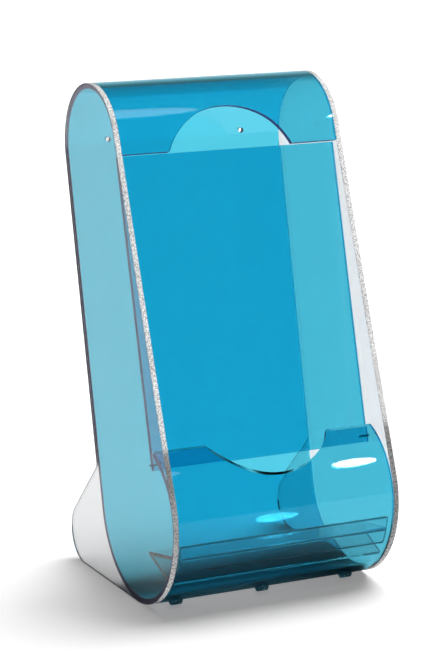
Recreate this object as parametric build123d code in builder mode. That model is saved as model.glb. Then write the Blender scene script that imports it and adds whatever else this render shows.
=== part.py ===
from build123d import *
import math
import os

# Safety glasses dispenser: a tall blue case, rolled from one sheet of acrylic,
# between two clear end panels. A blue door tilts out below the hood to fill it,
# and a curled lip with a finger scoop keeps what lies in the belly.
# +X is to the right seen from the front, +Y to the rear, +Z up. The origin is on
# the floor, in the middle of the width and of the depth. Millimetres and degrees.

# The case
inner_width = 203.2
panel_thickness = 4.8
sheet_thickness = 4.8
overall_height = 435.4
bottom_radius = 78.0
top_radius = 56.5
top_setback = 87.3
hood_drop = 18.4

# The lip, curled in tighter than the belly below it
lip_tightening = 10.7
lip_sweep = 68.2

# One round cut, used twice: the notch in the hood and the scoop in the lip
cut_radius = 63.5
cut_depth = 37.5

# The foot of each end panel
foot_reach = 146.4
foot_corner_radius = 27.7
foot_slope = 44.0
foot_blend_radius = 6.0

# The two holes that hang the case on a wall
wall_hole_diameter = 4.8
wall_hole_spacing = 127.0

# The door and its pins
door_side_gap = 1.2
door_top_gap = 0.6
door_lip_gap = 3.7
door_below_lip = 12.4
pin_diameter = 1.6
pin_rise = 5.0
pin_in_door = 8.0
pin_in_panel = 3.0
pin_bore_depth = 3.4
pin_running_gap = 0.05

# The clear ledge low in the belly and the strip that it is glued to
strip_width = 25.4
strip_thickness = 3.2
strip_angle = 19.0
strip_end_gap = 3.6
ledge_thickness = 3.2
ledge_front_angle = 17.0
ledge_slope = 10.6
ledge_depth = 54.0
ledge_return_angle = 38.3

# The soft bumpers under the belly
bumper_inset = 19.6
bumper_angle = 20.0
bumper_diameter = 12.7
bumper_taper = 21.0
bumper_tip_fillet = 1.5
bumper_seat_cut = 1.0

# Places that follow from the sizes, as (y, z) in the side view
outer_width = inner_width + 2 * panel_thickness
rear_reach = max(foot_reach, top_setback + top_radius)
bottom_y = (bottom_radius - rear_reach) / 2
bottom_centre = (bottom_y, bottom_radius)
top_centre = (bottom_y + top_setback, overall_height - top_radius)
lip_radius = bottom_radius - lip_tightening
lip_centre = (bottom_y - lip_tightening, bottom_radius)


def on_circle(centre, radius, angle):
    """Point on a circle of the side view, its angle counted up from the rear."""
    turn = math.radians(angle)
    return (centre[0] + radius * math.cos(turn), centre[1] + radius * math.sin(turn))


def stepped(point, angle, distance):
    """Point at a distance from another, in a direction counted up from the rear."""
    return on_circle(point, distance, angle)


def side_vector(angle):
    """Unit vector in the side view's plane."""
    return (0, math.cos(math.radians(angle)), math.sin(math.radians(angle)))


def from_side(x, point):
    """Point in space at a station along the width."""
    return (x, point[0], point[1])


# The straight walls touch both rolls: the angles are those of their normals.
centre_rise = top_centre[1] - bottom_centre[1]
centre_run = math.hypot(top_setback, centre_rise)
centre_angle = math.degrees(math.atan2(centre_rise, top_setback))
spread = math.degrees(math.acos((bottom_radius - top_radius) / centre_run))
rear_normal = centre_angle - spread
front_normal = centre_angle + spread
front_down = front_normal + 90
lip_end = 180 - lip_sweep


def sheet_edges(inset):
    """The sheet's line in the side view, from the hood's edge to the lip's."""
    front_top = on_circle(top_centre, top_radius - inset, front_normal)
    rear_top = on_circle(top_centre, top_radius - inset, rear_normal)
    rear_bottom = on_circle(bottom_centre, bottom_radius - inset, rear_normal)
    hood_edge = stepped(front_top, front_down, hood_drop)
    Line(hood_edge, front_top)
    CenterArc(top_centre, top_radius - inset, front_normal, rear_normal - front_normal)
    Line(rear_top, rear_bottom)
    CenterArc(bottom_centre, bottom_radius - inset, rear_normal, -180 - rear_normal)
    CenterArc(lip_centre, lip_radius - inset, 180, -lip_sweep)
    return hood_edge, on_circle(lip_centre, lip_radius - inset, lip_end)


# The case's sheet: hood, top, back, belly and lip, bent from one flat blank
with BuildPart() as body_sheet:
    with BuildSketch(Plane.YZ):
        with BuildLine():
            hood_outer, lip_outer = sheet_edges(0)
            hood_inner, lip_inner = sheet_edges(sheet_thickness)
            Line(hood_outer, hood_inner)
            Line(lip_outer, lip_inner)
        make_face()
    extrude(amount=inner_width / 2, both=True)

    # The notch in the hood's lower edge
    hood_plane = Plane(from_side(0, hood_outer), x_dir=(1, 0, 0), z_dir=side_vector(front_normal))
    with BuildSketch(hood_plane):
        with Locations((0, cut_depth - cut_radius)):
            Circle(cut_radius)
    extrude(amount=top_radius / 2, both=True, mode=Mode.SUBTRACT)

    # The finger scoop in the lip, square to the sheet at the middle of its depth
    scoop_angle = lip_end + math.degrees(cut_depth / 2 / lip_radius)
    scoop_middle = on_circle(lip_centre, lip_radius, scoop_angle)
    lip_plane = Plane(from_side(0, scoop_middle), x_dir=(1, 0, 0), z_dir=side_vector(scoop_angle))
    with BuildSketch(lip_plane):
        with Locations((0, cut_radius - cut_depth / 2)):
            Circle(cut_radius)
    extrude(amount=lip_radius / 4, both=True, mode=Mode.SUBTRACT)

    # The wall holes, where the top roll is furthest back
    hole_wall = (top_centre[0] + top_radius, top_centre[1])
    with Locations(Plane(from_side(0, hole_wall), x_dir=(1, 0, 0), z_dir=(0, 1, 0))):
        with GridLocations(wall_hole_spacing, 0, 2, 1):
            Hole(wall_hole_diameter / 2, depth=top_radius / 2)
body_sheet.part.label = "body_sheet"

# The door's front face runs from the hood's inner corner down behind the lip.
hood_to_lip = math.hypot(lip_inner[0] - hood_inner[0], lip_inner[1] - hood_inner[1])
sight_angle = math.degrees(math.atan2(lip_inner[1] - hood_inner[1], lip_inner[0] - hood_inner[0]))
door_down = sight_angle + math.degrees(math.asin(door_lip_gap / hood_to_lip))
door_rearward = door_down + 90
door_lean = door_rearward
door_width = inner_width - 2 * door_side_gap
lip_station = math.sqrt(hood_to_lip ** 2 - door_lip_gap ** 2)
door_top = stepped(hood_inner, door_down, door_top_gap)
door_bottom = stepped(hood_inner, door_down, lip_station + door_below_lip)
pin_front = stepped(door_bottom, door_down, -pin_rise)
pin_axis = stepped(pin_front, door_rearward, sheet_thickness / 2)

with BuildPart() as front_door:
    with BuildSketch(Plane.YZ):
        with BuildLine():
            Polyline(
                door_top,
                door_bottom,
                stepped(door_bottom, door_rearward, sheet_thickness),
                stepped(door_top, door_rearward, sheet_thickness),
                close=True,
            )
        make_face()
    extrude(amount=door_width / 2, both=True)
    for side in (-1, 1):
        with Locations(Plane(from_side(side * door_width / 2, pin_axis), z_dir=(side, 0, 0))):
            Hole(pin_diameter / 2, depth=pin_in_door)
front_door.part.label = "front_door"


def end_panel(side):
    """Clear end panel: the case's own outline with a foot behind it."""
    foot_corner = (bottom_y + foot_reach - foot_corner_radius, foot_corner_radius)
    foot_shoulder = on_circle(foot_corner, foot_corner_radius, 90 - foot_slope)
    rear_top = on_circle(top_centre, top_radius, rear_normal)
    rear_bottom = on_circle(bottom_centre, bottom_radius, rear_normal)
    front_top = on_circle(top_centre, top_radius, front_normal)
    front_bottom = on_circle(bottom_centre, bottom_radius, front_normal)

    # Where the foot's upper edge meets the back wall's line
    up_angle = 180 - foot_slope
    wall = (rear_top[0] - rear_bottom[0], rear_top[1] - rear_bottom[1])
    edge = (math.cos(math.radians(up_angle)), math.sin(math.radians(up_angle)))
    offset_y = foot_shoulder[0] - rear_bottom[0]
    offset_z = foot_shoulder[1] - rear_bottom[1]
    share = (offset_y * edge[1] - offset_z * edge[0]) / (wall[0] * edge[1] - wall[1] * edge[0])
    foot_meet = (rear_bottom[0] + share * wall[0], rear_bottom[1] + share * wall[1])

    inner_face = side * inner_width / 2
    with BuildPart() as panel:
        with BuildSketch(Plane.YZ.offset(inner_face)):
            with BuildLine():
                Line((bottom_y, 0), (foot_corner[0], 0))
                CenterArc(foot_corner, foot_corner_radius, -90, 180 - foot_slope)
                Line(foot_shoulder, foot_meet)
                Line(foot_meet, rear_top)
                CenterArc(top_centre, top_radius, rear_normal, front_normal - rear_normal)
                Line(front_top, front_bottom)
                CenterArc(bottom_centre, bottom_radius, front_normal, 270 - front_normal)
            make_face()
        extrude(amount=side * panel_thickness)
        blend = panel.edges().filter_by(Axis.X).sort_by_distance(from_side(inner_face, foot_meet))[0]
        fillet(blend, foot_blend_radius)

        # The blind hole that the door's pin turns in
        with Locations(Plane(from_side(inner_face, pin_axis), z_dir=(-side, 0, 0))):
            Hole(pin_diameter / 2 + pin_running_gap, depth=pin_bore_depth)
    return panel.part


left_end_panel = end_panel(-1)
left_end_panel.label = "left_end_panel"
right_end_panel = end_panel(1)
right_end_panel.label = "right_end_panel"


def hinge_pin(side):
    """Steel pin pressed into the door's end, turning in the end panel."""
    inner_end = side * (door_width / 2 - pin_in_door)
    length = pin_in_door + door_side_gap + pin_in_panel
    with BuildPart() as pin:
        with BuildSketch(Plane.YZ.offset(inner_end)):
            with Locations(pin_axis):
                Circle(pin_diameter / 2)
        extrude(amount=side * length)
    return pin.part


left_hinge_pin = hinge_pin(-1)
left_hinge_pin.label = "left_hinge_pin"
right_hinge_pin = hinge_pin(1)
right_hinge_pin.label = "right_hinge_pin"

# The clear strip glued to the belly's inner face, bent to its curve
belly_radius = bottom_radius - sheet_thickness
strip_half_angle = math.degrees(strip_width / 2 / belly_radius)
strip_start = 180 + strip_angle - strip_half_angle
strip_end = 180 + strip_angle + strip_half_angle
strip_inner_radius = belly_radius - strip_thickness
strip_length = inner_width - 2 * strip_end_gap


def strip_edges():
    """The strip's section: a stretch of ring against the belly."""
    CenterArc(bottom_centre, belly_radius, strip_start, strip_end - strip_start)
    CenterArc(bottom_centre, strip_inner_radius, strip_start, strip_end - strip_start)
    for angle in (strip_start, strip_end):
        Line(
            on_circle(bottom_centre, strip_inner_radius, angle),
            on_circle(bottom_centre, belly_radius, angle),
        )


with BuildPart() as ledge_strip:
    with BuildSketch(Plane.YZ):
        with BuildLine():
            strip_edges()
        make_face()
    extrude(amount=strip_length / 2, both=True)
ledge_strip.part.label = "ledge_strip"

# The clear ledge, bent to a V: it leaves the strip, slopes down to its nose and
# comes back under itself to the belly.
ledge_front = on_circle(bottom_centre, belly_radius, 180 + ledge_front_angle)
ledge_nose = stepped(ledge_front, -ledge_slope, ledge_depth)
ledge_return = on_circle(bottom_centre, belly_radius, 180 + ledge_return_angle)

with BuildPart() as ledge:
    with BuildSketch(Plane.YZ):
        for leg_end in (ledge_front, ledge_return):
            SlotCenterPoint(
                ((leg_end[0] + ledge_nose[0]) / 2, (leg_end[1] + ledge_nose[1]) / 2),
                ledge_nose,
                ledge_thickness,
            )
        with Locations(bottom_centre):
            Circle(belly_radius, mode=Mode.INTERSECT)
        with BuildLine():
            strip_edges()
        make_face(mode=Mode.SUBTRACT)
    extrude(amount=strip_length / 2, both=True)
ledge.part.label = "ledge"

# The bumpers stand on the floor beside the end panels' base. Each is just long
# enough for the lowest point of its rounded tip to touch it.
bumper_down = 270 - bumper_angle
lean_sine = math.sin(math.radians(bumper_angle))
lean_cosine = math.cos(math.radians(bumper_angle))
taper_slope = math.tan(math.radians(bumper_taper))
tip_setback = bumper_tip_fillet * math.tan(math.radians((90 - bumper_taper) / 2))
bumper_root = bottom_radius - bumper_seat_cut
bumper_root_radius = bumper_diameter / 2 + bumper_seat_cut * taper_slope
free_height = bottom_radius - bumper_tip_fillet - (bumper_root - bumper_tip_fillet) * lean_cosine
tip_lift = (bumper_root_radius - tip_setback) * lean_sine
bumper_length = (free_height - tip_lift) / (lean_cosine - taper_slope * lean_sine)
bumper_tip_radius = bumper_root_radius - bumper_length * taper_slope


def bumper(x):
    """Soft tapered bumper, its flat back bent to the belly."""
    seat = Plane(
        from_side(x, on_circle(bottom_centre, bumper_root, bumper_down)),
        x_dir=(1, 0, 0),
        z_dir=side_vector(bumper_down),
    )
    with BuildPart() as foot:
        with Locations(seat):
            Cone(
                bumper_root_radius,
                bumper_tip_radius,
                bumper_length,
                align=(Align.CENTER, Align.CENTER, Align.MIN),
            )
        tip_edge = foot.edges().filter_by(GeomType.CIRCLE).sort_by(SortBy.RADIUS)[0]
        fillet(tip_edge, bumper_tip_fillet)
        with BuildSketch(Plane.YZ.offset(x)):
            with Locations(bottom_centre):
                Circle(bottom_radius)
        extrude(amount=bumper_diameter, both=True, mode=Mode.SUBTRACT)
    return foot.part


bumper_station = inner_width / 2 - bumper_inset
bumpers = {
    "bumper_left": bumper(-bumper_station),
    "bumper_centre": bumper(0),
    "bumper_right": bumper(bumper_station),
}
for name, solid in bumpers.items():
    solid.label = name

os.makedirs("parts", exist_ok=True)
export_step(body_sheet.part, "parts/body_sheet.step")
export_step(left_end_panel, "parts/left_end_panel.step")
export_step(right_end_panel, "parts/right_end_panel.step")
export_step(front_door.part, "parts/front_door.step")
export_step(left_hinge_pin, "parts/left_hinge_pin.step")
export_step(right_hinge_pin, "parts/right_hinge_pin.step")
export_step(ledge_strip.part, "parts/ledge_strip.step")
export_step(ledge.part, "parts/ledge.step")
for name, solid in bumpers.items():
    export_step(solid, f"parts/{name}.step")
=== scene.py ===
import math

import bmesh
import bpy
from mathutils import Matrix, Vector


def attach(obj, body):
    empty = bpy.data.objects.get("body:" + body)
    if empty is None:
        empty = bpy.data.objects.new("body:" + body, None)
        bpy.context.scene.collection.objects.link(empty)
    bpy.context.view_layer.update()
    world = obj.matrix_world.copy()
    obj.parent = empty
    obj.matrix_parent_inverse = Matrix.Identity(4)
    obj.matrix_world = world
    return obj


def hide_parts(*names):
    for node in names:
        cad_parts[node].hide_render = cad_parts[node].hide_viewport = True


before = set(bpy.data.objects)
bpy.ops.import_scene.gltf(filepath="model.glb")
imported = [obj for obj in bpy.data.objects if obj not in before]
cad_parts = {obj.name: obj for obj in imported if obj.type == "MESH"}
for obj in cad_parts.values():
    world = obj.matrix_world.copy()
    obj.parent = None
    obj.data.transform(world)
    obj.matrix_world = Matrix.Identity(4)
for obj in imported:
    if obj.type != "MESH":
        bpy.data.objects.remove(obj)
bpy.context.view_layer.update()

scene = bpy.context.scene
mm = 0.001

# The room: a white sweep of floor and backdrop, with a dark room in front of it,
# as a product photographer sets it up. A broad soft lamp stands high on the right,
# and two narrow ones make the streaks on the hood and on the lip.
room_white = 1.0
room_dark = 0.02
white_height = 0.5
dark_height = 0.95
height_shades = ((0.505, 0.75), (0.585, 0.6), (0.67, 0.35), (0.75, 0.16), (0.85, 0.05))
dark_in_front = -0.1
lit_behind = 0.25
paper_white = 0.9
floor_size = 60.0
floor_extra = 0.25
floor_mirrored = 0.35
lamp_strength = 4.0
lamp_softness = math.radians(60)
lamp_from = Vector((0.42, 0.22, 0.88))
streak_distance = 1.5

world = bpy.data.worlds.new("studio")
scene.world = world
world.use_nodes = True
nodes, links = world.node_tree.nodes, world.node_tree.links
nodes.clear()
direction = nodes.new("ShaderNodeTexCoord")
axes = nodes.new("ShaderNodeSeparateXYZ")
height = nodes.new("ShaderNodeMapRange")
height.inputs["From Min"].default_value = -1.0
backdrop = nodes.new("ShaderNodeValToRGB")
steps = backdrop.color_ramp.elements
steps[0].position, steps[0].color = white_height, (room_white, room_white, room_white, 1)
steps[1].position, steps[1].color = dark_height, (room_dark, room_dark, room_dark, 1)
for step_height, shade in height_shades:
    step = steps.new(step_height)
    step.color = (shade, shade, shade, 1)
behind = nodes.new("ShaderNodeMapRange")
behind.inputs["From Min"].default_value = dark_in_front
behind.inputs["From Max"].default_value = lit_behind
behind.inputs["To Min"].default_value = room_dark
sky = nodes.new("ShaderNodeBackground")
world_out = nodes.new("ShaderNodeOutputWorld")
links.new(direction.outputs["Generated"], axes.inputs[0])
links.new(axes.outputs["Z"], height.inputs["Value"])
links.new(height.outputs["Result"], backdrop.inputs["Fac"])
links.new(backdrop.outputs["Color"], sky.inputs["Color"])
links.new(axes.outputs["Y"], behind.inputs["Value"])
links.new(behind.outputs["Result"], sky.inputs["Strength"])
links.new(sky.outputs[0], world_out.inputs["Surface"])

# The paper glows a little for the camera alone, so that it ends white, and mirrors
# dim in polished faces, as the paper of a small sweep does.
floor_mat = bpy.data.materials.new("floor_paper")
floor_mat.use_nodes = True
floor_nodes, floor_links = floor_mat.node_tree.nodes, floor_mat.node_tree.links
floor_shader = floor_nodes["Principled BSDF"]
floor_shader.inputs["Roughness"].default_value = 1.0
floor_shader.inputs["Specular IOR Level"].default_value = 0.0
seen = floor_nodes.new("ShaderNodeLightPath")
glow = floor_nodes.new("ShaderNodeMath")
glow.operation = "MULTIPLY"
glow.inputs[1].default_value = floor_extra
floor_links.new(seen.outputs["Is Camera Ray"], glow.inputs[0])
paper = floor_nodes.new("ShaderNodeMix")
paper.data_type = "RGBA"
paper.inputs["A"].default_value = (*[paper_white] * 3, 1)
paper.inputs["B"].default_value = (*[paper_white * floor_mirrored] * 3, 1)
mirrored = floor_nodes.new("ShaderNodeMath")
mirrored.operation = "SUBTRACT"
mirrored.use_clamp = True
floor_links.new(seen.outputs["Is Glossy Ray"], mirrored.inputs[0])
floor_links.new(seen.outputs["Is Transmission Ray"], mirrored.inputs[1])
floor_links.new(mirrored.outputs[0], paper.inputs["Factor"])
floor_links.new(paper.outputs["Result"], floor_shader.inputs["Base Color"])
floor_shader.inputs["Emission Color"].default_value = (1, 1, 1, 1)
floor_links.new(glow.outputs[0], floor_shader.inputs["Emission Strength"])
floor_mesh = bpy.data.meshes.new("floor")
half = floor_size / 2
corners = [(-half, -half, 0), (half, -half, 0), (half, half, 0), (-half, half, 0)]
floor_mesh.from_pydata(corners, [], [(0, 1, 2, 3)])
floor_mesh.materials.append(floor_mat)
floor = bpy.data.objects.new("floor", floor_mesh)
scene.collection.objects.link(floor)

lamp_data = bpy.data.lights.new("soft_lamp", "SUN")
lamp_data.energy = lamp_strength
lamp_data.angle = lamp_softness
lamp = bpy.data.objects.new("soft_lamp", lamp_data)
lamp.rotation_euler = lamp_from.to_track_quat("Z", "Y").to_euler()
lamp.visible_glossy = False
lamp.visible_transmission = False
scene.collection.objects.link(lamp)


def streak_lamp(name, toward, ray, width, height, radiance):
    """A narrow oval lamp, seen mirrored at a point in a given direction."""
    data = bpy.data.lights.new(name, "AREA")
    data.shape = "ELLIPSE"
    data.size = width
    data.size_y = height
    data.energy = radiance * math.pi * (math.pi / 4 * width * height)
    oval = bpy.data.objects.new(name, data)
    away = Vector((0, ray[1], ray[2])).normalized()
    turned = Matrix(((1, 0, 0), away.cross((1, 0, 0)), away)).transposed().to_4x4()
    stand = Vector(toward) + Vector(ray).normalized() * streak_distance
    oval.matrix_world = Matrix.Translation(stand) @ turned
    scene.collection.objects.link(oval)


streak_lamp(
    "hood_lamp", toward=(-0.098, 0.008, 0.413), ray=(0.391, -0.35, 0.845),
    width=0.25, height=0.40, radiance=2.2,
)
streak_lamp(
    "lip_lamp", toward=(0.070, -0.100, 0.117), ray=(0.467, -0.53, 0.707),
    width=0.075, height=0.28, radiance=24.0,
)

# The camera stands where the photographer's stood: to the left of the front and
# a little above. Its angles and distance were fitted to the object's outline.
camera_azimuth = math.radians(25.612)
camera_elevation = math.radians(12.215)
camera_roll = math.radians(-0.392)
camera_place = Vector((-871.7, -1798.3, 653.4)) * mm
focal_pixels = 2353.0
image_height = 659
sensor_height = 36.0

ahead = Vector((
    math.sin(camera_azimuth) * math.cos(camera_elevation),
    math.cos(camera_azimuth) * math.cos(camera_elevation),
    -math.sin(camera_elevation),
))
level = Vector((math.cos(camera_azimuth), -math.sin(camera_azimuth), 0))
upward = level.cross(ahead)
camera_right = level * math.cos(camera_roll) + upward * math.sin(camera_roll)
camera_up = upward * math.cos(camera_roll) - level * math.sin(camera_roll)
camera_data = bpy.data.cameras.new("camera")
camera_data.sensor_fit = "VERTICAL"
camera_data.sensor_height = sensor_height
camera_data.lens = focal_pixels * sensor_height / image_height
camera = bpy.data.objects.new("camera", camera_data)
turned = Matrix((camera_right, camera_up, -ahead)).transposed().to_4x4()
camera.matrix_world = Matrix.Translation(camera_place) @ turned
scene.collection.objects.link(camera)
scene.camera = camera
scene.view_settings.view_transform = "Standard"
scene.cycles.max_bounces = 40
scene.cycles.transmission_bounces = 40
scene.cycles.glossy_bounces = 12
scene.cycles.transparent_max_bounces = 24

# The case: one sheet of 4.8 mm transparent blue acrylic, oven-bent over two
# formers into hood, back, belly and lip. The notch, the scoop and the two wall
# holes were cut in the flat blank, and the cut edges show a deep violet.
glue_gap = 0.05 * mm
inner_width = 203.2 * mm
sheet_thickness = 4.8 * mm
overall_height = 435.4 * mm
bottom_radius = 78.0 * mm
top_radius = 56.5 * mm
top_setback = 87.3 * mm
hood_drop = 18.4 * mm
foot_reach = 146.4 * mm
lip_tightening = 10.7 * mm
lip_sweep = 68.2
cut_radius = 63.5 * mm
cut_depth = 37.5 * mm
wall_hole_diameter = 4.8 * mm
wall_hole_spacing = 127.0 * mm
bend_step = 1.0
acrylic_ior = 1.49

bottom_y = (bottom_radius - foot_reach) / 2
bottom_centre = (bottom_y, bottom_radius)
top_centre = (bottom_y + top_setback, overall_height - top_radius)
lip_radius = bottom_radius - lip_tightening
lip_centre = (bottom_y - lip_tightening, bottom_radius)


def on_circle(centre, radius, angle):
    """Point (y, z) on a circle of the side view, its angle counted up from the rear."""
    turn = math.radians(angle)
    return (centre[0] + radius * math.cos(turn), centre[1] + radius * math.sin(turn))


def arc(centre, radius, start, end, step=bend_step):
    """Points along an arc of the side view, its two ends included."""
    count = max(2, math.ceil(abs(end - start) / step))
    return [on_circle(centre, radius, start + (end - start) * i / count) for i in range(count + 1)]


centre_rise = top_centre[1] - bottom_centre[1]
centre_angle = math.degrees(math.atan2(centre_rise, top_setback))
centre_distance = math.hypot(top_setback, centre_rise)
spread = math.degrees(math.acos((bottom_radius - top_radius) / centre_distance))
rear_normal = centre_angle - spread
front_normal = centre_angle + spread
lip_end = 180 - lip_sweep


def sheet_path(inset):
    """The sheet's line in the side view, from the hood's edge to the lip's."""
    over_top = arc(top_centre, top_radius - inset, front_normal, rear_normal)
    hood_edge = on_circle(over_top[0], hood_drop, front_normal + 90)
    under = arc(bottom_centre, bottom_radius - inset, rear_normal, -180)
    lip = arc(lip_centre, lip_radius - inset, 180, lip_end)
    return [hood_edge, *over_top, *under, *lip[1:]]


def named_input(tree, name, kind):
    """A named input on a node group."""
    return tree.interface.new_socket(name, in_out="INPUT", socket_type=kind)


def add_node(tree, kind, **settings):
    """A node of one kind, with its settings."""
    node = tree.nodes.new(kind)
    for name, value in settings.items():
        setattr(node, name, value)
    return node


def feed(tree, node, **sources):
    """Link or set inputs by their place, written as i0, i1 and so on."""
    for place, source in sources.items():
        socket = node.inputs[int(place[1:])]
        if isinstance(source, bpy.types.NodeSocket):
            tree.links.new(source, socket)
        else:
            socket.default_value = source
    return node


def polish_group():
    """Faint haze, wipe marks and ripple of a handled acrylic sheet."""
    wipe_stretch = (1, 6, 1)
    wipe_turn = (0.5, 0.2, 0.7)
    wipe_detail = 6
    unmarked, marked = 0.45, 0.75
    ripple_scale = 9.0
    ripple_detail = 1.0
    tree = bpy.data.node_groups.new("polish", "ShaderNodeTree")
    named_input(tree, "Haze", "NodeSocketFloat")
    named_input(tree, "Mark Scale", "NodeSocketFloat")
    tree.interface.new_socket("Roughness", in_out="OUTPUT", socket_type="NodeSocketFloat")
    tree.interface.new_socket("Ripple", in_out="OUTPUT", socket_type="NodeSocketFloat")
    inputs = add_node(tree, "NodeGroupInput")
    outputs = add_node(tree, "NodeGroupOutput")
    place = add_node(tree, "ShaderNodeTexCoord")
    stretch = add_node(tree, "ShaderNodeMapping")
    stretch.inputs["Scale"].default_value = wipe_stretch
    stretch.inputs["Rotation"].default_value = wipe_turn
    tree.links.new(place.outputs["Object"], stretch.inputs["Vector"])
    marks = add_node(tree, "ShaderNodeTexNoise")
    marks.inputs["Detail"].default_value = wipe_detail
    tree.links.new(stretch.outputs[0], marks.inputs["Vector"])
    tree.links.new(inputs.outputs["Mark Scale"], marks.inputs["Scale"])
    sharpen = add_node(tree, "ShaderNodeMapRange")
    sharpen.inputs["From Min"].default_value = unmarked
    sharpen.inputs["From Max"].default_value = marked
    tree.links.new(marks.outputs["Fac"], sharpen.inputs["Value"])
    rough = add_node(tree, "ShaderNodeMath", operation="MULTIPLY")
    feed(tree, rough, i0=sharpen.outputs[0], i1=inputs.outputs["Haze"])
    ripple = add_node(tree, "ShaderNodeTexNoise")
    ripple.inputs["Scale"].default_value = ripple_scale
    ripple.inputs["Detail"].default_value = ripple_detail
    tree.links.new(place.outputs["Object"], ripple.inputs["Vector"])
    tree.links.new(rough.outputs[0], outputs.inputs["Roughness"])
    tree.links.new(ripple.outputs["Fac"], outputs.inputs["Ripple"])
    return tree


polish = polish_group()


def acrylic(name, tint, shadow, haze=0.03):
    """Polished transparent acrylic: tinted, glossy, and light in its shadow."""
    mark_scale = 60.0
    ripple_share = 0.15
    ripple_height = 0.3 * mm
    mat = bpy.data.materials.new(name)
    mat.use_nodes = True
    tree = mat.node_tree
    shader = tree.nodes["Principled BSDF"]
    shader.inputs["Base Color"].default_value = (*tint, 1)
    shader.inputs["Transmission Weight"].default_value = 1.0
    shader.inputs["IOR"].default_value = acrylic_ior
    worn = add_node(tree, "ShaderNodeGroup", node_tree=polish)
    worn.inputs["Haze"].default_value = haze
    worn.inputs["Mark Scale"].default_value = mark_scale
    bump = add_node(tree, "ShaderNodeBump")
    bump.inputs["Strength"].default_value = ripple_share
    bump.inputs["Distance"].default_value = ripple_height
    tree.links.new(worn.outputs["Ripple"], bump.inputs["Height"])
    tree.links.new(worn.outputs["Roughness"], shader.inputs["Roughness"])
    tree.links.new(bump.outputs[0], shader.inputs["Normal"])
    lighten_shadow(tree, shader, shadow)
    return mat


def lighten_shadow(tree, shader, shadow):
    """Let room light through the piece, less of it where it strikes at a low angle."""
    grazing = add_node(tree, "ShaderNodeFresnel")
    grazing.inputs["IOR"].default_value = acrylic_ior
    passed = add_node(tree, "ShaderNodeMix", data_type="RGBA")
    tree.links.new(grazing.outputs[0], passed.inputs["Factor"])
    passed.inputs["A"].default_value = (*shadow, 1)
    passed.inputs["B"].default_value = (0, 0, 0, 1)
    clear = add_node(tree, "ShaderNodeBsdfTransparent")
    tree.links.new(passed.outputs["Result"], clear.inputs["Color"])
    ray = add_node(tree, "ShaderNodeLightPath")
    lighting = add_node(tree, "ShaderNodeMath", operation="MAXIMUM")
    feed(tree, lighting, i0=ray.outputs["Is Shadow Ray"], i1=ray.outputs["Is Diffuse Ray"])
    mix = add_node(tree, "ShaderNodeMixShader")
    tree.links.new(lighting.outputs[0], mix.inputs[0])
    tree.links.new(shader.outputs[0], mix.inputs[1])
    tree.links.new(clear.outputs[0], mix.inputs[2])
    tree.links.new(mix.outputs[0], tree.nodes["Material Output"].inputs["Surface"])


def cut_edge(name, colour, clearness, gloss, shadow, inside):
    """A sawn and scraped edge: satin from outside, and clear to rays within the sheet."""
    scrape_scale = 900.0
    scrape_detail = 3.0
    patch_scale = 45.0
    patch_range = (0.3, 0.7)
    patch_shades = (0.8, 1.15)
    scrape_share = 0.1
    scrape_depth = 0.02 * mm
    inner_haze = 0.1
    mat = bpy.data.materials.new(name)
    mat.use_nodes = True
    tree = mat.node_tree
    shader = tree.nodes["Principled BSDF"]
    shader.inputs["Transmission Weight"].default_value = clearness
    shader.inputs["IOR"].default_value = acrylic_ior
    place = add_node(tree, "ShaderNodeTexCoord")
    marks = add_node(tree, "ShaderNodeTexNoise")
    marks.inputs["Scale"].default_value = scrape_scale
    marks.inputs["Detail"].default_value = scrape_detail
    tree.links.new(place.outputs["Object"], marks.inputs["Vector"])
    patches = add_node(tree, "ShaderNodeTexNoise")
    patches.inputs["Scale"].default_value = patch_scale
    tree.links.new(place.outputs["Object"], patches.inputs["Vector"])
    shade = add_node(tree, "ShaderNodeValToRGB")
    for stop, position, share in zip(shade.color_ramp.elements, patch_range, patch_shades):
        stop.position = position
        stop.color = (*[min(1, c * share) for c in colour], 1)
    tree.links.new(patches.outputs["Fac"], shade.inputs["Fac"])
    tree.links.new(shade.outputs["Color"], shader.inputs["Base Color"])
    satin = add_node(tree, "ShaderNodeMapRange")
    satin.inputs["To Min"].default_value, satin.inputs["To Max"].default_value = gloss
    tree.links.new(marks.outputs["Fac"], satin.inputs["Value"])
    tree.links.new(satin.outputs[0], shader.inputs["Roughness"])
    bump = add_node(tree, "ShaderNodeBump")
    bump.inputs["Strength"].default_value = scrape_share
    bump.inputs["Distance"].default_value = scrape_depth
    tree.links.new(marks.outputs["Fac"], bump.inputs["Height"])
    tree.links.new(bump.outputs[0], shader.inputs["Normal"])
    within = add_node(tree, "ShaderNodeBsdfPrincipled")
    within.inputs["Base Color"].default_value = (*inside, 1)
    within.inputs["Transmission Weight"].default_value = 1.0
    within.inputs["IOR"].default_value = acrylic_ior
    within.inputs["Roughness"].default_value = inner_haze
    sides = add_node(tree, "ShaderNodeMixShader")
    facing = add_node(tree, "ShaderNodeNewGeometry")
    tree.links.new(facing.outputs["Backfacing"], sides.inputs[0])
    tree.links.new(shader.outputs[0], sides.inputs[1])
    tree.links.new(within.outputs[0], sides.inputs[2])
    lighten_shadow(tree, sides, shadow)
    return mat


blue_tint = (0.09, 0.61, 0.80)
blue_acrylic = acrylic("blue_acrylic", blue_tint, shadow=(0.80, 0.84, 0.87))
blue_edge = cut_edge(
    "blue_cut_edge", colour=(0.065, 0.04, 0.26), clearness=0.0, gloss=(0.25, 0.5),
    shadow=(0.6, 0.6, 0.66), inside=blue_tint,
)


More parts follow.
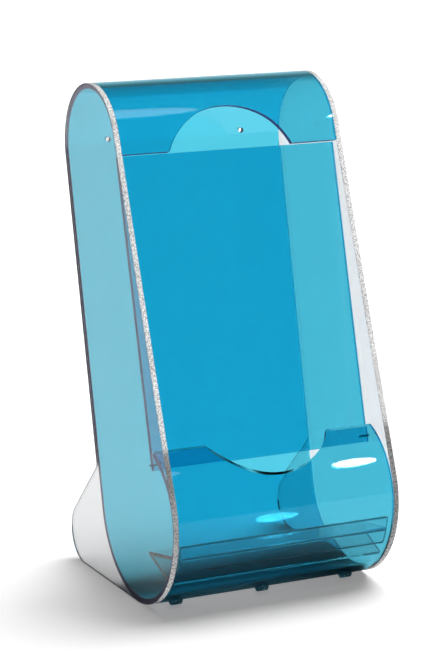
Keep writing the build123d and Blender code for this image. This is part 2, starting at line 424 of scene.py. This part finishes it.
def bent_sheet_tree():
    """A flat blank swept along its bending line, with round cuts taken out of it."""
    side_facing = 0.5
    end_reach = 0.4
    cut_segments = 256
    hole_segments = 48
    cutter_length = 40 * mm
    tree = bpy.data.node_groups.new("bent_sheet", "GeometryNodeTree")
    named_input(tree, "Path", "NodeSocketGeometry")
    for name in ("Width", "Thickness", "Cut Radius", "Hole Radius", "Hole Spacing"):
        named_input(tree, name, "NodeSocketFloat")
    for name in (
        "Hood End", "Lip End", "Notch Place", "Notch Turn",
        "Scoop Place", "Scoop Turn", "Hole Place",
    ):
        named_input(tree, name, "NodeSocketVector")
    named_input(tree, "Face Material", "NodeSocketMaterial")
    named_input(tree, "Edge Material", "NodeSocketMaterial")
    tree.interface.new_socket("Sheet", in_out="OUTPUT", socket_type="NodeSocketGeometry")
    given = add_node(tree, "NodeGroupInput").outputs
    result = add_node(tree, "NodeGroupOutput")

    normal = add_node(tree, "GeometryNodeSetCurveNormal", mode="FREE")
    tree.links.new(given["Path"], normal.inputs["Curve"])
    normal.inputs["Normal"].default_value = (1, 0, 0)
    section = add_node(tree, "GeometryNodeCurvePrimitiveQuadrilateral")
    tree.links.new(given["Width"], section.inputs["Width"])
    tree.links.new(given["Thickness"], section.inputs["Height"])
    swept = add_node(tree, "GeometryNodeCurveToMesh")
    tree.links.new(normal.outputs[0], swept.inputs["Curve"])
    tree.links.new(section.outputs[0], swept.inputs["Profile Curve"])
    swept.inputs["Fill Caps"].default_value = True
    faced = add_node(tree, "GeometryNodeSetMaterial")
    tree.links.new(swept.outputs[0], faced.inputs["Geometry"])
    tree.links.new(given["Face Material"], faced.inputs["Material"])

    # The sides are the faces that look along the width.
    facing = add_node(tree, "ShaderNodeSeparateXYZ")
    tree.links.new(add_node(tree, "GeometryNodeInputNormal").outputs[0], facing.inputs[0])
    across = add_node(tree, "ShaderNodeMath", operation="ABSOLUTE")
    tree.links.new(facing.outputs["X"], across.inputs[0])
    chosen = add_node(tree, "FunctionNodeCompare", data_type="FLOAT", operation="GREATER_THAN")
    tree.links.new(across.outputs[0], chosen.inputs["A"])
    chosen.inputs["B"].default_value = side_facing
    selected = chosen.outputs[0]

    # The two ends are the faces whose middle lies on the bending line.
    place = add_node(tree, "ShaderNodeVectorMath", operation="MULTIPLY")
    feed(tree, place, i0=add_node(tree, "GeometryNodeInputPosition").outputs[0], i1=(0, 1, 1))
    near = add_node(tree, "ShaderNodeMath", operation="MULTIPLY")
    feed(tree, near, i0=given["Thickness"], i1=end_reach)
    for end in ("Hood End", "Lip End"):
        gap = add_node(tree, "ShaderNodeVectorMath", operation="DISTANCE")
        feed(tree, gap, i0=place.outputs[0], i1=given[end])
        close = add_node(tree, "FunctionNodeCompare", data_type="FLOAT", operation="LESS_THAN")
        tree.links.new(gap.outputs["Value"], close.inputs["A"])
        tree.links.new(near.outputs[0], close.inputs["B"])
        either = add_node(tree, "FunctionNodeBooleanMath", operation="OR")
        feed(tree, either, i0=selected, i1=close.outputs[0])
        selected = either.outputs[0]
    edged = add_node(tree, "GeometryNodeSetMaterial")
    tree.links.new(faced.outputs[0], edged.inputs["Geometry"])
    tree.links.new(selected, edged.inputs["Selection"])
    tree.links.new(given["Edge Material"], edged.inputs["Material"])

    # One big round cutter for the notch and the scoop, and two small ones for the holes
    cutters = add_node(tree, "GeometryNodeJoinGeometry")
    big = add_node(tree, "GeometryNodeMeshCylinder")
    big.inputs["Vertices"].default_value = cut_segments
    big.inputs["Depth"].default_value = cutter_length
    tree.links.new(given["Cut Radius"], big.inputs["Radius"])
    for cut in ("Notch", "Scoop"):
        moved = add_node(tree, "GeometryNodeTransform")
        tree.links.new(big.outputs["Mesh"], moved.inputs["Geometry"])
        tree.links.new(given[cut + " Place"], moved.inputs["Translation"])
        tree.links.new(given[cut + " Turn"], moved.inputs["Rotation"])
        tree.links.new(moved.outputs[0], cutters.inputs[0])
    small = add_node(tree, "GeometryNodeMeshCylinder")
    small.inputs["Vertices"].default_value = hole_segments
    small.inputs["Depth"].default_value = cutter_length
    tree.links.new(given["Hole Radius"], small.inputs["Radius"])
    for side in (-0.5, 0.5):
        step = add_node(tree, "ShaderNodeMath", operation="MULTIPLY")
        feed(tree, step, i0=given["Hole Spacing"], i1=side)
        aside = add_node(tree, "ShaderNodeCombineXYZ")
        tree.links.new(step.outputs[0], aside.inputs["X"])
        spot = add_node(tree, "ShaderNodeVectorMath", operation="ADD")
        feed(tree, spot, i0=aside.outputs[0], i1=given["Hole Place"])
        moved = add_node(tree, "GeometryNodeTransform")
        tree.links.new(small.outputs["Mesh"], moved.inputs["Geometry"])
        tree.links.new(spot.outputs[0], moved.inputs["Translation"])
        moved.inputs["Rotation"].default_value = (math.pi / 2, 0, 0)
        tree.links.new(moved.outputs[0], cutters.inputs[0])
    cutter_face = add_node(tree, "GeometryNodeSetMaterial")
    tree.links.new(cutters.outputs[0], cutter_face.inputs["Geometry"])
    tree.links.new(given["Edge Material"], cutter_face.inputs["Material"])
    cut = add_node(tree, "GeometryNodeMeshBoolean", operation="DIFFERENCE", solver="EXACT")
    tree.links.new(edged.outputs[0], cut.inputs["Mesh 1"])
    tree.links.new(cutter_face.outputs[0], cut.inputs["Mesh 2"])
    smooth = add_node(tree, "GeometryNodeSetShadeSmooth")
    tree.links.new(cut.outputs[0], smooth.inputs["Geometry"])
    tree.links.new(smooth.outputs[0], result.inputs["Sheet"])
    return tree


def from_side(point, x=0.0):
    """A point of the side view, at a station along the width."""
    return (x, point[0], point[1])


def finished(obj, mesh, sharp=30):
    """A plain smooth-shaded object for a mesh, its corners kept crisp."""
    mesh.set_sharp_from_angle(angle=math.radians(sharp))
    piece = bpy.data.objects.new(obj, mesh)
    mesh.name = obj
    scene.collection.objects.link(piece)
    return piece


path_curve = bpy.data.curves.new("sheet_path", "CURVE")
path_curve.dimensions = "3D"
path_points = [from_side(p) for p in sheet_path(sheet_thickness / 2)]
spline = path_curve.splines.new("POLY")
spline.points.add(len(path_points) - 1)
for point, place in zip(spline.points, path_points):
    point.co = (*place, 1)
path_object = bpy.data.objects.new("sheet_path", path_curve)
scene.collection.objects.link(path_object)

outer_edge = sheet_path(0)[0]
notch_centre = on_circle(outer_edge, cut_depth - cut_radius, front_normal - 90)
scoop_angle = lip_end + math.degrees(cut_depth / 2 / lip_radius)
scoop_middle = on_circle(lip_centre, lip_radius, scoop_angle)
scoop_centre = on_circle(scoop_middle, cut_radius - cut_depth / 2, scoop_angle - 90)
bent_sheet = bent_sheet_tree()
bending = path_object.modifiers.new("bent_sheet", "NODES")
bending.node_group = bent_sheet
sheet_values = {
    "Width": inner_width - 2 * glue_gap,
    "Thickness": sheet_thickness,
    "Cut Radius": cut_radius,
    "Hole Radius": wall_hole_diameter / 2,
    "Hole Spacing": wall_hole_spacing,
    "Hood End": path_points[0],
    "Lip End": path_points[-1],
    "Notch Place": from_side(notch_centre),
    "Notch Turn": (math.radians(front_normal - 90), 0, 0),
    "Scoop Place": from_side(scoop_centre),
    "Scoop Turn": (math.radians(scoop_angle - 90), 0, 0),
    "Hole Place": from_side(on_circle(top_centre, top_radius, 0)),
    "Face Material": blue_acrylic,
    "Edge Material": blue_edge,
}
for item in bent_sheet.interface.items_tree:
    if item.in_out == "INPUT" and item.name in sheet_values:
        bending[item.identifier] = sheet_values[item.name]
shaped = path_object.evaluated_get(bpy.context.evaluated_depsgraph_get())
case_mesh = bpy.data.meshes.new_from_object(shaped)
bpy.data.objects.remove(path_object)
case_sheet = finished("case_sheet", case_mesh)
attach(case_sheet, "case")
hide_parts("body_sheet")

# The end panels: 4.8 mm clear acrylic, routed to the case's outline with a foot
# behind, and cemented to the sheet's two sides. Their cut edges are satin and pale.
panel_thickness = 4.8 * mm
foot_corner_radius = 27.7 * mm
foot_slope = 44.0
foot_blend_radius = 6.0 * mm
foot_step = 1.5
blend_step = 4
panel_chamfer = 0.25 * mm
rim_facing = 0.9
door_side_gap = 1.2 * mm
door_top_gap = 0.6 * mm
door_lip_gap = 3.7 * mm
door_below_lip = 12.4 * mm
pin_diameter = 1.6 * mm
pin_rise = 5.0 * mm
pin_bore_depth = 3.4 * mm
pin_running_gap = 0.05 * mm

clear_tint = (0.84, 0.85, 0.86)
clear_acrylic = acrylic("clear_acrylic", clear_tint, shadow=(0.92, 0.92, 0.92))
clear_edge = cut_edge(
    "clear_cut_edge", colour=(0.9, 0.88, 0.87), clearness=0.6, gloss=(0.2, 0.35),
    shadow=(0.55, 0.55, 0.56), inside=clear_tint,
)

hood_inner = sheet_path(sheet_thickness)[0]
lip_inner = sheet_path(sheet_thickness)[-1]
sight = (lip_inner[0] - hood_inner[0], lip_inner[1] - hood_inner[1])
clearing = math.asin(door_lip_gap / math.hypot(*sight))
door_down = math.degrees(math.atan2(sight[1], sight[0]) + clearing)
door_rearward = door_down + 90
lip_station = math.sqrt(sight[0] ** 2 + sight[1] ** 2 - door_lip_gap ** 2)
door_top = on_circle(hood_inner, door_top_gap, door_down)
door_bottom = on_circle(hood_inner, lip_station + door_below_lip, door_down)
pin_front = on_circle(door_bottom, -pin_rise, door_down)
pin_axis = on_circle(pin_front, sheet_thickness / 2, door_rearward)


def crossing(point_a, angle_a, point_b, angle_b):
    """Where two lines of the side view cross, each given by a point and its angle."""
    ua = on_circle((0, 0), 1, angle_a)
    ub = on_circle((0, 0), 1, angle_b)
    run, rise = point_b[0] - point_a[0], point_b[1] - point_a[1]
    share = (run * ub[1] - rise * ub[0]) / (ua[0] * ub[1] - ua[1] * ub[0])
    return (point_a[0] + share * ua[0], point_a[1] + share * ua[1])


def panel_outline():
    """The end panel's outline in the side view, counted from its base's front end."""
    corner = (bottom_y + foot_reach - foot_corner_radius, foot_corner_radius)
    foot_arc = arc(corner, foot_corner_radius, -90, 90 - foot_slope, foot_step)
    wall_foot = on_circle(bottom_centre, bottom_radius, rear_normal)
    meet = crossing(foot_arc[-1], 180 - foot_slope, wall_foot, rear_normal + 90)
    turn = 180 - foot_slope - (rear_normal + 90)
    back_off = foot_blend_radius * math.tan(math.radians(turn / 2))
    blend_start = on_circle(meet, -back_off, 180 - foot_slope)
    blend_centre = on_circle(blend_start, foot_blend_radius, 90 - foot_slope)
    blend_end = rear_normal + 180
    blend = arc(blend_centre, foot_blend_radius, 270 - foot_slope, blend_end, blend_step)
    over_top = arc(top_centre, top_radius, rear_normal, front_normal)
    front = arc(bottom_centre, bottom_radius, front_normal, 270)
    return [*foot_arc, *blend, *over_top, *front]


def extruded(name, outline, start, stop, chamfer, face, edge, is_edge):
    """A solid of constant side view between two stations, its rims chamfered."""
    shape = bmesh.new()
    rings = [[shape.verts.new(from_side(p, x)) for p in outline] for x in (start, stop)]
    caps = [shape.faces.new(ring) for ring in rings]
    rim = [e for cap in caps for e in cap.edges]
    count = len(outline)
    for i in range(count):
        j = (i + 1) % count
        shape.faces.new((rings[0][i], rings[0][j], rings[1][j], rings[1][i]))
    bmesh.ops.recalc_face_normals(shape, faces=shape.faces)
    if chamfer:
        bmesh.ops.bevel(shape, geom=rim, offset=chamfer, segments=1, affect="EDGES")
    for item in shape.faces:
        item.material_index = 1 if is_edge(item.normal, item.calc_center_median()) else 0
        item.smooth = True
    mesh = bpy.data.meshes.new(name)
    shape.to_mesh(mesh)
    shape.free()
    mesh.materials.append(face)
    mesh.materials.append(edge)
    return finished(name, mesh)


def bored(piece, place, radius, depth, into):
    """Take a round blind hole out of a piece, along the width, from a station inward."""
    bore_segments = 32
    tool_mesh = bpy.data.meshes.new("bore")
    shape = bmesh.new()
    bmesh.ops.create_cone(
        shape, cap_ends=True, segments=bore_segments, depth=2 * depth,
        radius1=radius, radius2=radius,
        matrix=Matrix.Translation(from_side(place, into)) @ Matrix.Rotation(math.pi / 2, 4, "Y"),
    )
    shape.to_mesh(tool_mesh)
    shape.free()
    tool = bpy.data.objects.new("bore", tool_mesh)
    scene.collection.objects.link(tool)
    drill = piece.modifiers.new("bore", "BOOLEAN")
    drill.object = tool
    drill.solver = "EXACT"
    drilled = piece.evaluated_get(bpy.context.evaluated_depsgraph_get())
    bored_mesh = bpy.data.meshes.new_from_object(drilled)
    piece.modifiers.clear()
    piece.data = bored_mesh
    bored_mesh.name = piece.name
    bpy.data.objects.remove(tool)
    return piece


def sideways(normal, centre):
    """True on the rim of a panel: its faces don't look along the width."""
    return abs(normal.x) < rim_facing


for side, side_name in ((-1, "left"), (1, "right")):
    inner = side * inner_width / 2
    outer = side * (inner_width / 2 + panel_thickness)
    panel = extruded(
        side_name + "_panel", panel_outline(), inner, outer, panel_chamfer,
        clear_acrylic, clear_edge, sideways,
    )
    bored(panel, pin_axis, pin_diameter / 2 + pin_running_gap, pin_bore_depth, inner)
    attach(panel, "case")
    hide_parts(side_name + "_end_panel")

# The door: a flat sheet of the same blue acrylic behind the hood's edge and the
# lip's. It tips out at the top on two pins pressed into its ends low down.
door_width = inner_width - 2 * door_side_gap
door_chamfer = 0.2 * mm
door_rim_facing = 0.5


def round_the_door(normal, centre):
    """True on the door's four narrow sides and their chamfers."""
    along = on_circle((0, 0), 1, door_down)
    endways = abs(normal.y * along[0] + normal.z * along[1])
    return abs(normal.x) > door_rim_facing or endways > door_rim_facing


door_outline = [
    door_top,
    door_bottom,
    on_circle(door_bottom, sheet_thickness, door_rearward),
    on_circle(door_top, sheet_thickness, door_rearward),
]
door = extruded(
    "door_sheet", door_outline, -door_width / 2, door_width / 2, door_chamfer,
    blue_acrylic, blue_edge, round_the_door,
)
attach(door, "door")
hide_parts("front_door")

# The hinge pins: short bits of drawn steel rod, pressed into the door's ends and
# turning in blind holes in the end panels. They are the model's own solids.
steel_colour = (0.56, 0.57, 0.58)
drawing_stretch = (200, 4000, 4000)
drawn_satin = (0.22, 0.42)

steel = bpy.data.materials.new("steel_pin")
steel.use_nodes = True
tree = steel.node_tree
shader = tree.nodes["Principled BSDF"]
shader.inputs["Metallic"].default_value = 1.0
shader.inputs["Base Color"].default_value = (*steel_colour, 1)
place = add_node(tree, "ShaderNodeTexCoord")
drawn = add_node(tree, "ShaderNodeMapping")
drawn.inputs["Scale"].default_value = drawing_stretch
tree.links.new(place.outputs["Object"], drawn.inputs["Vector"])
grain = add_node(tree, "ShaderNodeTexNoise")
grain.inputs["Scale"].default_value = 1.0
tree.links.new(drawn.outputs[0], grain.inputs["Vector"])
satin = add_node(tree, "ShaderNodeMapRange")
satin.inputs["To Min"].default_value, satin.inputs["To Max"].default_value = drawn_satin
tree.links.new(grain.outputs["Fac"], satin.inputs["Value"])
tree.links.new(satin.outputs[0], shader.inputs["Roughness"])
for name in ("left_hinge_pin", "right_hinge_pin"):
    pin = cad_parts[name]
    pin.data.materials.clear()
    pin.data.materials.append(steel)

# The ledge strip: clear acrylic bent to the belly's curve and cemented inside it.
# The ledge is a second clear piece, bent to a V, that the strip holds up.
strip_width = 25.4 * mm
strip_thickness = 3.2 * mm
strip_angle = 19.0
strip_end_gap = 3.6 * mm
strip_chamfer = 0.2 * mm
strip_rim_facing = 0.8
ledge_thickness = 3.2 * mm
ledge_front_angle = 17.0
ledge_slope = 10.6
ledge_depth = 54.0 * mm
ledge_return_angle = 38.3
nose_step = 10
ledge_end_facing = 0.3

belly_radius = bottom_radius - sheet_thickness
strip_half_angle = math.degrees(strip_width / 2 / belly_radius)
strip_start = 180 + strip_angle - strip_half_angle
strip_stop = 180 + strip_angle + strip_half_angle
strip_inner_radius = belly_radius - strip_thickness
strip_length = inner_width - 2 * strip_end_gap
strip_outline = [
    *arc(bottom_centre, belly_radius - glue_gap, strip_start, strip_stop),
    *arc(bottom_centre, strip_inner_radius, strip_stop, strip_start),
]


def strip_rim(normal, centre):
    """True on the strip's ends and its two long edges."""
    out = (centre.y - bottom_centre[0], centre.z - bottom_centre[1])
    outward = (normal.y * out[0] + normal.z * out[1]) / math.hypot(*out)
    return abs(outward) < strip_rim_facing


strip = extruded(
    "clear_strip", strip_outline, -strip_length / 2, strip_length / 2, strip_chamfer,
    clear_acrylic, clear_edge, strip_rim,
)
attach(strip, "case")
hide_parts("ledge_strip")


def reach(point, angle, radius):
    """The point where a line of the side view leaves a circle round the belly's centre."""
    step = on_circle((0, 0), 1, angle)
    off = (point[0] - bottom_centre[0], point[1] - bottom_centre[1])
    dot = off[0] * step[0] + off[1] * step[1]
    far = -dot + math.sqrt(dot * dot - off[0] ** 2 - off[1] ** 2 + radius * radius)
    return on_circle(point, far, angle)


ledge_front = on_circle(bottom_centre, belly_radius, 180 + ledge_front_angle)
ledge_nose = on_circle(ledge_front, ledge_depth, -ledge_slope)
ledge_return = on_circle(bottom_centre, belly_radius, 180 + ledge_return_angle)
upper_angle = 180 - ledge_slope
back = (ledge_return[0] - ledge_nose[0], ledge_return[1] - ledge_nose[1])
lower_angle = math.degrees(math.atan2(back[1], back[0]))
half_ledge = ledge_thickness / 2
top_side = on_circle(ledge_nose, half_ledge, upper_angle - 90)
under_top = on_circle(ledge_nose, half_ledge, upper_angle + 90)
over_return = on_circle(ledge_nose, half_ledge, lower_angle - 90)
low_side = on_circle(ledge_nose, half_ledge, lower_angle + 90)
strip_face = strip_inner_radius - glue_gap
belly_face = belly_radius - glue_gap
ledge_outline = [
    reach(top_side, upper_angle, strip_face),
    *arc(ledge_nose, half_ledge, upper_angle - 90, lower_angle + 90, nose_step),
    reach(low_side, lower_angle, belly_face),
    reach(over_return, lower_angle, belly_face),
    crossing(under_top, upper_angle, over_return, lower_angle),
    reach(under_top, upper_angle, strip_face),
]


def ledge_rim(normal, centre):
    """True on the ledge's two cut ends."""
    return abs(normal.x) > ledge_end_facing


ledge_piece = extruded(
    "clear_ledge", ledge_outline, -strip_length / 2, strip_length / 2, 0,
    clear_acrylic, clear_edge, ledge_rim,
)
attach(ledge_piece, "case")
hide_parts("ledge")

# The bumpers: three soft clear rubber buttons stuck under the belly. Each is
# tapered, with a rounded tip that stands on the floor.
bumper_inset = 19.6 * mm
bumper_angle = 20.0
bumper_diameter = 12.7 * mm
bumper_taper = 21.0
bumper_tip_fillet = 1.5 * mm
bumper_seat_cut = 1.0 * mm
bumper_count = 3
fillet_steps = 12
# The rubber's teal is painted blue light: the buttons are clear, and this tint stands in for the
# blue of the case that they pick up.
rubber_painted_blue_light = (0.20, 0.55, 0.66)
rubber_clearness = 0.7
rubber_ior = 1.46
rubber_haze = 0.35
rubber_mark_scale = 400.0
rubber_satin = 0.12

bumper_down = 270 - bumper_angle
lean_sine = math.sin(math.radians(bumper_angle))
lean_cosine = math.cos(math.radians(bumper_angle))
taper_slope = math.tan(math.radians(bumper_taper))
tip_setback = bumper_tip_fillet * math.tan(math.radians((90 - bumper_taper) / 2))
bumper_root = bottom_radius - bumper_seat_cut
bumper_root_radius = bumper_diameter / 2 + bumper_seat_cut * taper_slope
free_height = bottom_radius - bumper_tip_fillet - (bumper_root - bumper_tip_fillet) * lean_cosine
tip_lift = (bumper_root_radius - tip_setback) * lean_sine
bumper_length = (free_height - tip_lift) / (lean_cosine - taper_slope * lean_sine)
bumper_tip_radius = bumper_root_radius - bumper_length * taper_slope

rubber = bpy.data.materials.new("clear_rubber")
rubber.use_nodes = True
tree = rubber.node_tree
shader = tree.nodes["Principled BSDF"]
# Base colour: painted blue light from the case, on clear rubber.
shader.inputs["Base Color"].default_value = (*rubber_painted_blue_light, 1)
shader.inputs["Transmission Weight"].default_value = rubber_clearness
shader.inputs["IOR"].default_value = rubber_ior
worn = add_node(tree, "ShaderNodeGroup", node_tree=polish)
worn.inputs["Haze"].default_value = rubber_haze
worn.inputs["Mark Scale"].default_value = rubber_mark_scale
base = add_node(tree, "ShaderNodeMath", operation="ADD")
feed(tree, base, i0=worn.outputs["Roughness"], i1=rubber_satin)
tree.links.new(base.outputs[0], shader.inputs["Roughness"])
lighten_shadow(tree, shader, shadow=(0.5, 0.56, 0.6))


def bumper_row_tree():
    """A row of turned buttons, their roots hollowed to the belly."""
    ring_segments = 48
    belly_segments = 360
    tree = bpy.data.node_groups.new("bumper_row", "GeometryNodeTree")
    named_input(tree, "Path", "NodeSocketGeometry")
    named_input(tree, "Count", "NodeSocketInt")
    for name in ("Spacing", "Belly Radius"):
        named_input(tree, name, "NodeSocketFloat")
    for name in ("First Seat", "Seat Turn", "Belly Centre"):
        named_input(tree, name, "NodeSocketVector")
    named_input(tree, "Material", "NodeSocketMaterial")
    tree.interface.new_socket("Bumpers", in_out="OUTPUT", socket_type="NodeSocketGeometry")
    given = add_node(tree, "NodeGroupInput").outputs
    result = add_node(tree, "NodeGroupOutput")

    ring = add_node(tree, "GeometryNodeCurvePrimitiveCircle")
    ring.inputs["Resolution"].default_value = ring_segments
    ring.inputs["Radius"].default_value = 1.0
    turned = add_node(tree, "GeometryNodeCurveToMesh")
    tree.links.new(given["Path"], turned.inputs["Curve"])
    tree.links.new(ring.outputs[0], turned.inputs["Profile Curve"])
    tree.links.new(add_node(tree, "GeometryNodeInputRadius").outputs[0], turned.inputs["Scale"])
    turned.inputs["Fill Caps"].default_value = True
    seats = add_node(tree, "GeometryNodeMeshLine")
    tree.links.new(given["Count"], seats.inputs["Count"])
    tree.links.new(given["First Seat"], seats.inputs["Start Location"])
    aside = add_node(tree, "ShaderNodeCombineXYZ")
    tree.links.new(given["Spacing"], aside.inputs["X"])
    tree.links.new(aside.outputs[0], seats.inputs["Offset"])
    placed = add_node(tree, "GeometryNodeInstanceOnPoints")
    tree.links.new(seats.outputs[0], placed.inputs["Points"])
    tree.links.new(turned.outputs[0], placed.inputs["Instance"])
    tree.links.new(given["Seat Turn"], placed.inputs["Rotation"])
    real = add_node(tree, "GeometryNodeRealizeInstances")
    tree.links.new(placed.outputs[0], real.inputs[0])
    belly = add_node(tree, "GeometryNodeMeshCylinder")
    belly.inputs["Vertices"].default_value = belly_segments
    belly.inputs["Depth"].default_value = inner_width * 2
    tree.links.new(given["Belly Radius"], belly.inputs["Radius"])
    laid = add_node(tree, "GeometryNodeTransform")
    tree.links.new(belly.outputs["Mesh"], laid.inputs["Geometry"])
    tree.links.new(given["Belly Centre"], laid.inputs["Translation"])
    laid.inputs["Rotation"].default_value = (0, math.pi / 2, 0)
    cut = add_node(tree, "GeometryNodeMeshBoolean", operation="DIFFERENCE", solver="EXACT")
    tree.links.new(real.outputs[0], cut.inputs["Mesh 1"])
    tree.links.new(laid.outputs[0], cut.inputs["Mesh 2"])
    smooth = add_node(tree, "GeometryNodeSetShadeSmooth")
    tree.links.new(cut.outputs[0], smooth.inputs["Geometry"])
    coloured = add_node(tree, "GeometryNodeSetMaterial")
    tree.links.new(smooth.outputs[0], coloured.inputs["Geometry"])
    tree.links.new(given["Material"], coloured.inputs["Material"])
    tree.links.new(coloured.outputs[0], result.inputs["Bumpers"])
    return tree


stations = [(0.0, bumper_root_radius)]
tip_centre = (bumper_length - bumper_tip_fillet, bumper_tip_radius - tip_setback)
for i in range(fillet_steps + 1):
    turn = math.radians(bumper_taper + (90 - bumper_taper) * i / fillet_steps)
    stations.append((
        tip_centre[0] + bumper_tip_fillet * math.sin(turn),
        tip_centre[1] + bumper_tip_fillet * math.cos(turn),
    ))
bumper_curve = bpy.data.curves.new("bumper_path", "CURVE")
bumper_curve.dimensions = "3D"
spline = bumper_curve.splines.new("POLY")
spline.points.add(len(stations) - 1)
for point, (rise, radius) in zip(spline.points, stations):
    point.co = (0, 0, rise, 1)
    point.radius = radius
bumper_object = bpy.data.objects.new("bumper_path", bumper_curve)
scene.collection.objects.link(bumper_object)

bumper_station = inner_width / 2 - bumper_inset
bumper_row = bumper_row_tree()
standing = bumper_object.modifiers.new("bumper_row", "NODES")
standing.node_group = bumper_row
bumper_values = {
    "Count": bumper_count,
    "Spacing": bumper_station,
    "Belly Radius": bottom_radius + glue_gap,
    "First Seat": from_side(on_circle(bottom_centre, bumper_root, bumper_down), -bumper_station),
    "Seat Turn": (math.radians(bumper_down - 90), 0, 0),
    "Belly Centre": from_side(bottom_centre),
    "Material": rubber,
}
for item in bumper_row.interface.items_tree:
    if item.in_out == "INPUT" and item.name in bumper_values:
        standing[item.identifier] = bumper_values[item.name]
shaped = bumper_object.evaluated_get(bpy.context.evaluated_depsgraph_get())
bumper_mesh = bpy.data.meshes.new_from_object(shaped)
bpy.data.objects.remove(bumper_object)
bumpers = finished("bumpers", bumper_mesh, sharp=40)
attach(bumpers, "case")
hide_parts("bumper_left", "bumper_centre", "bumper_right")
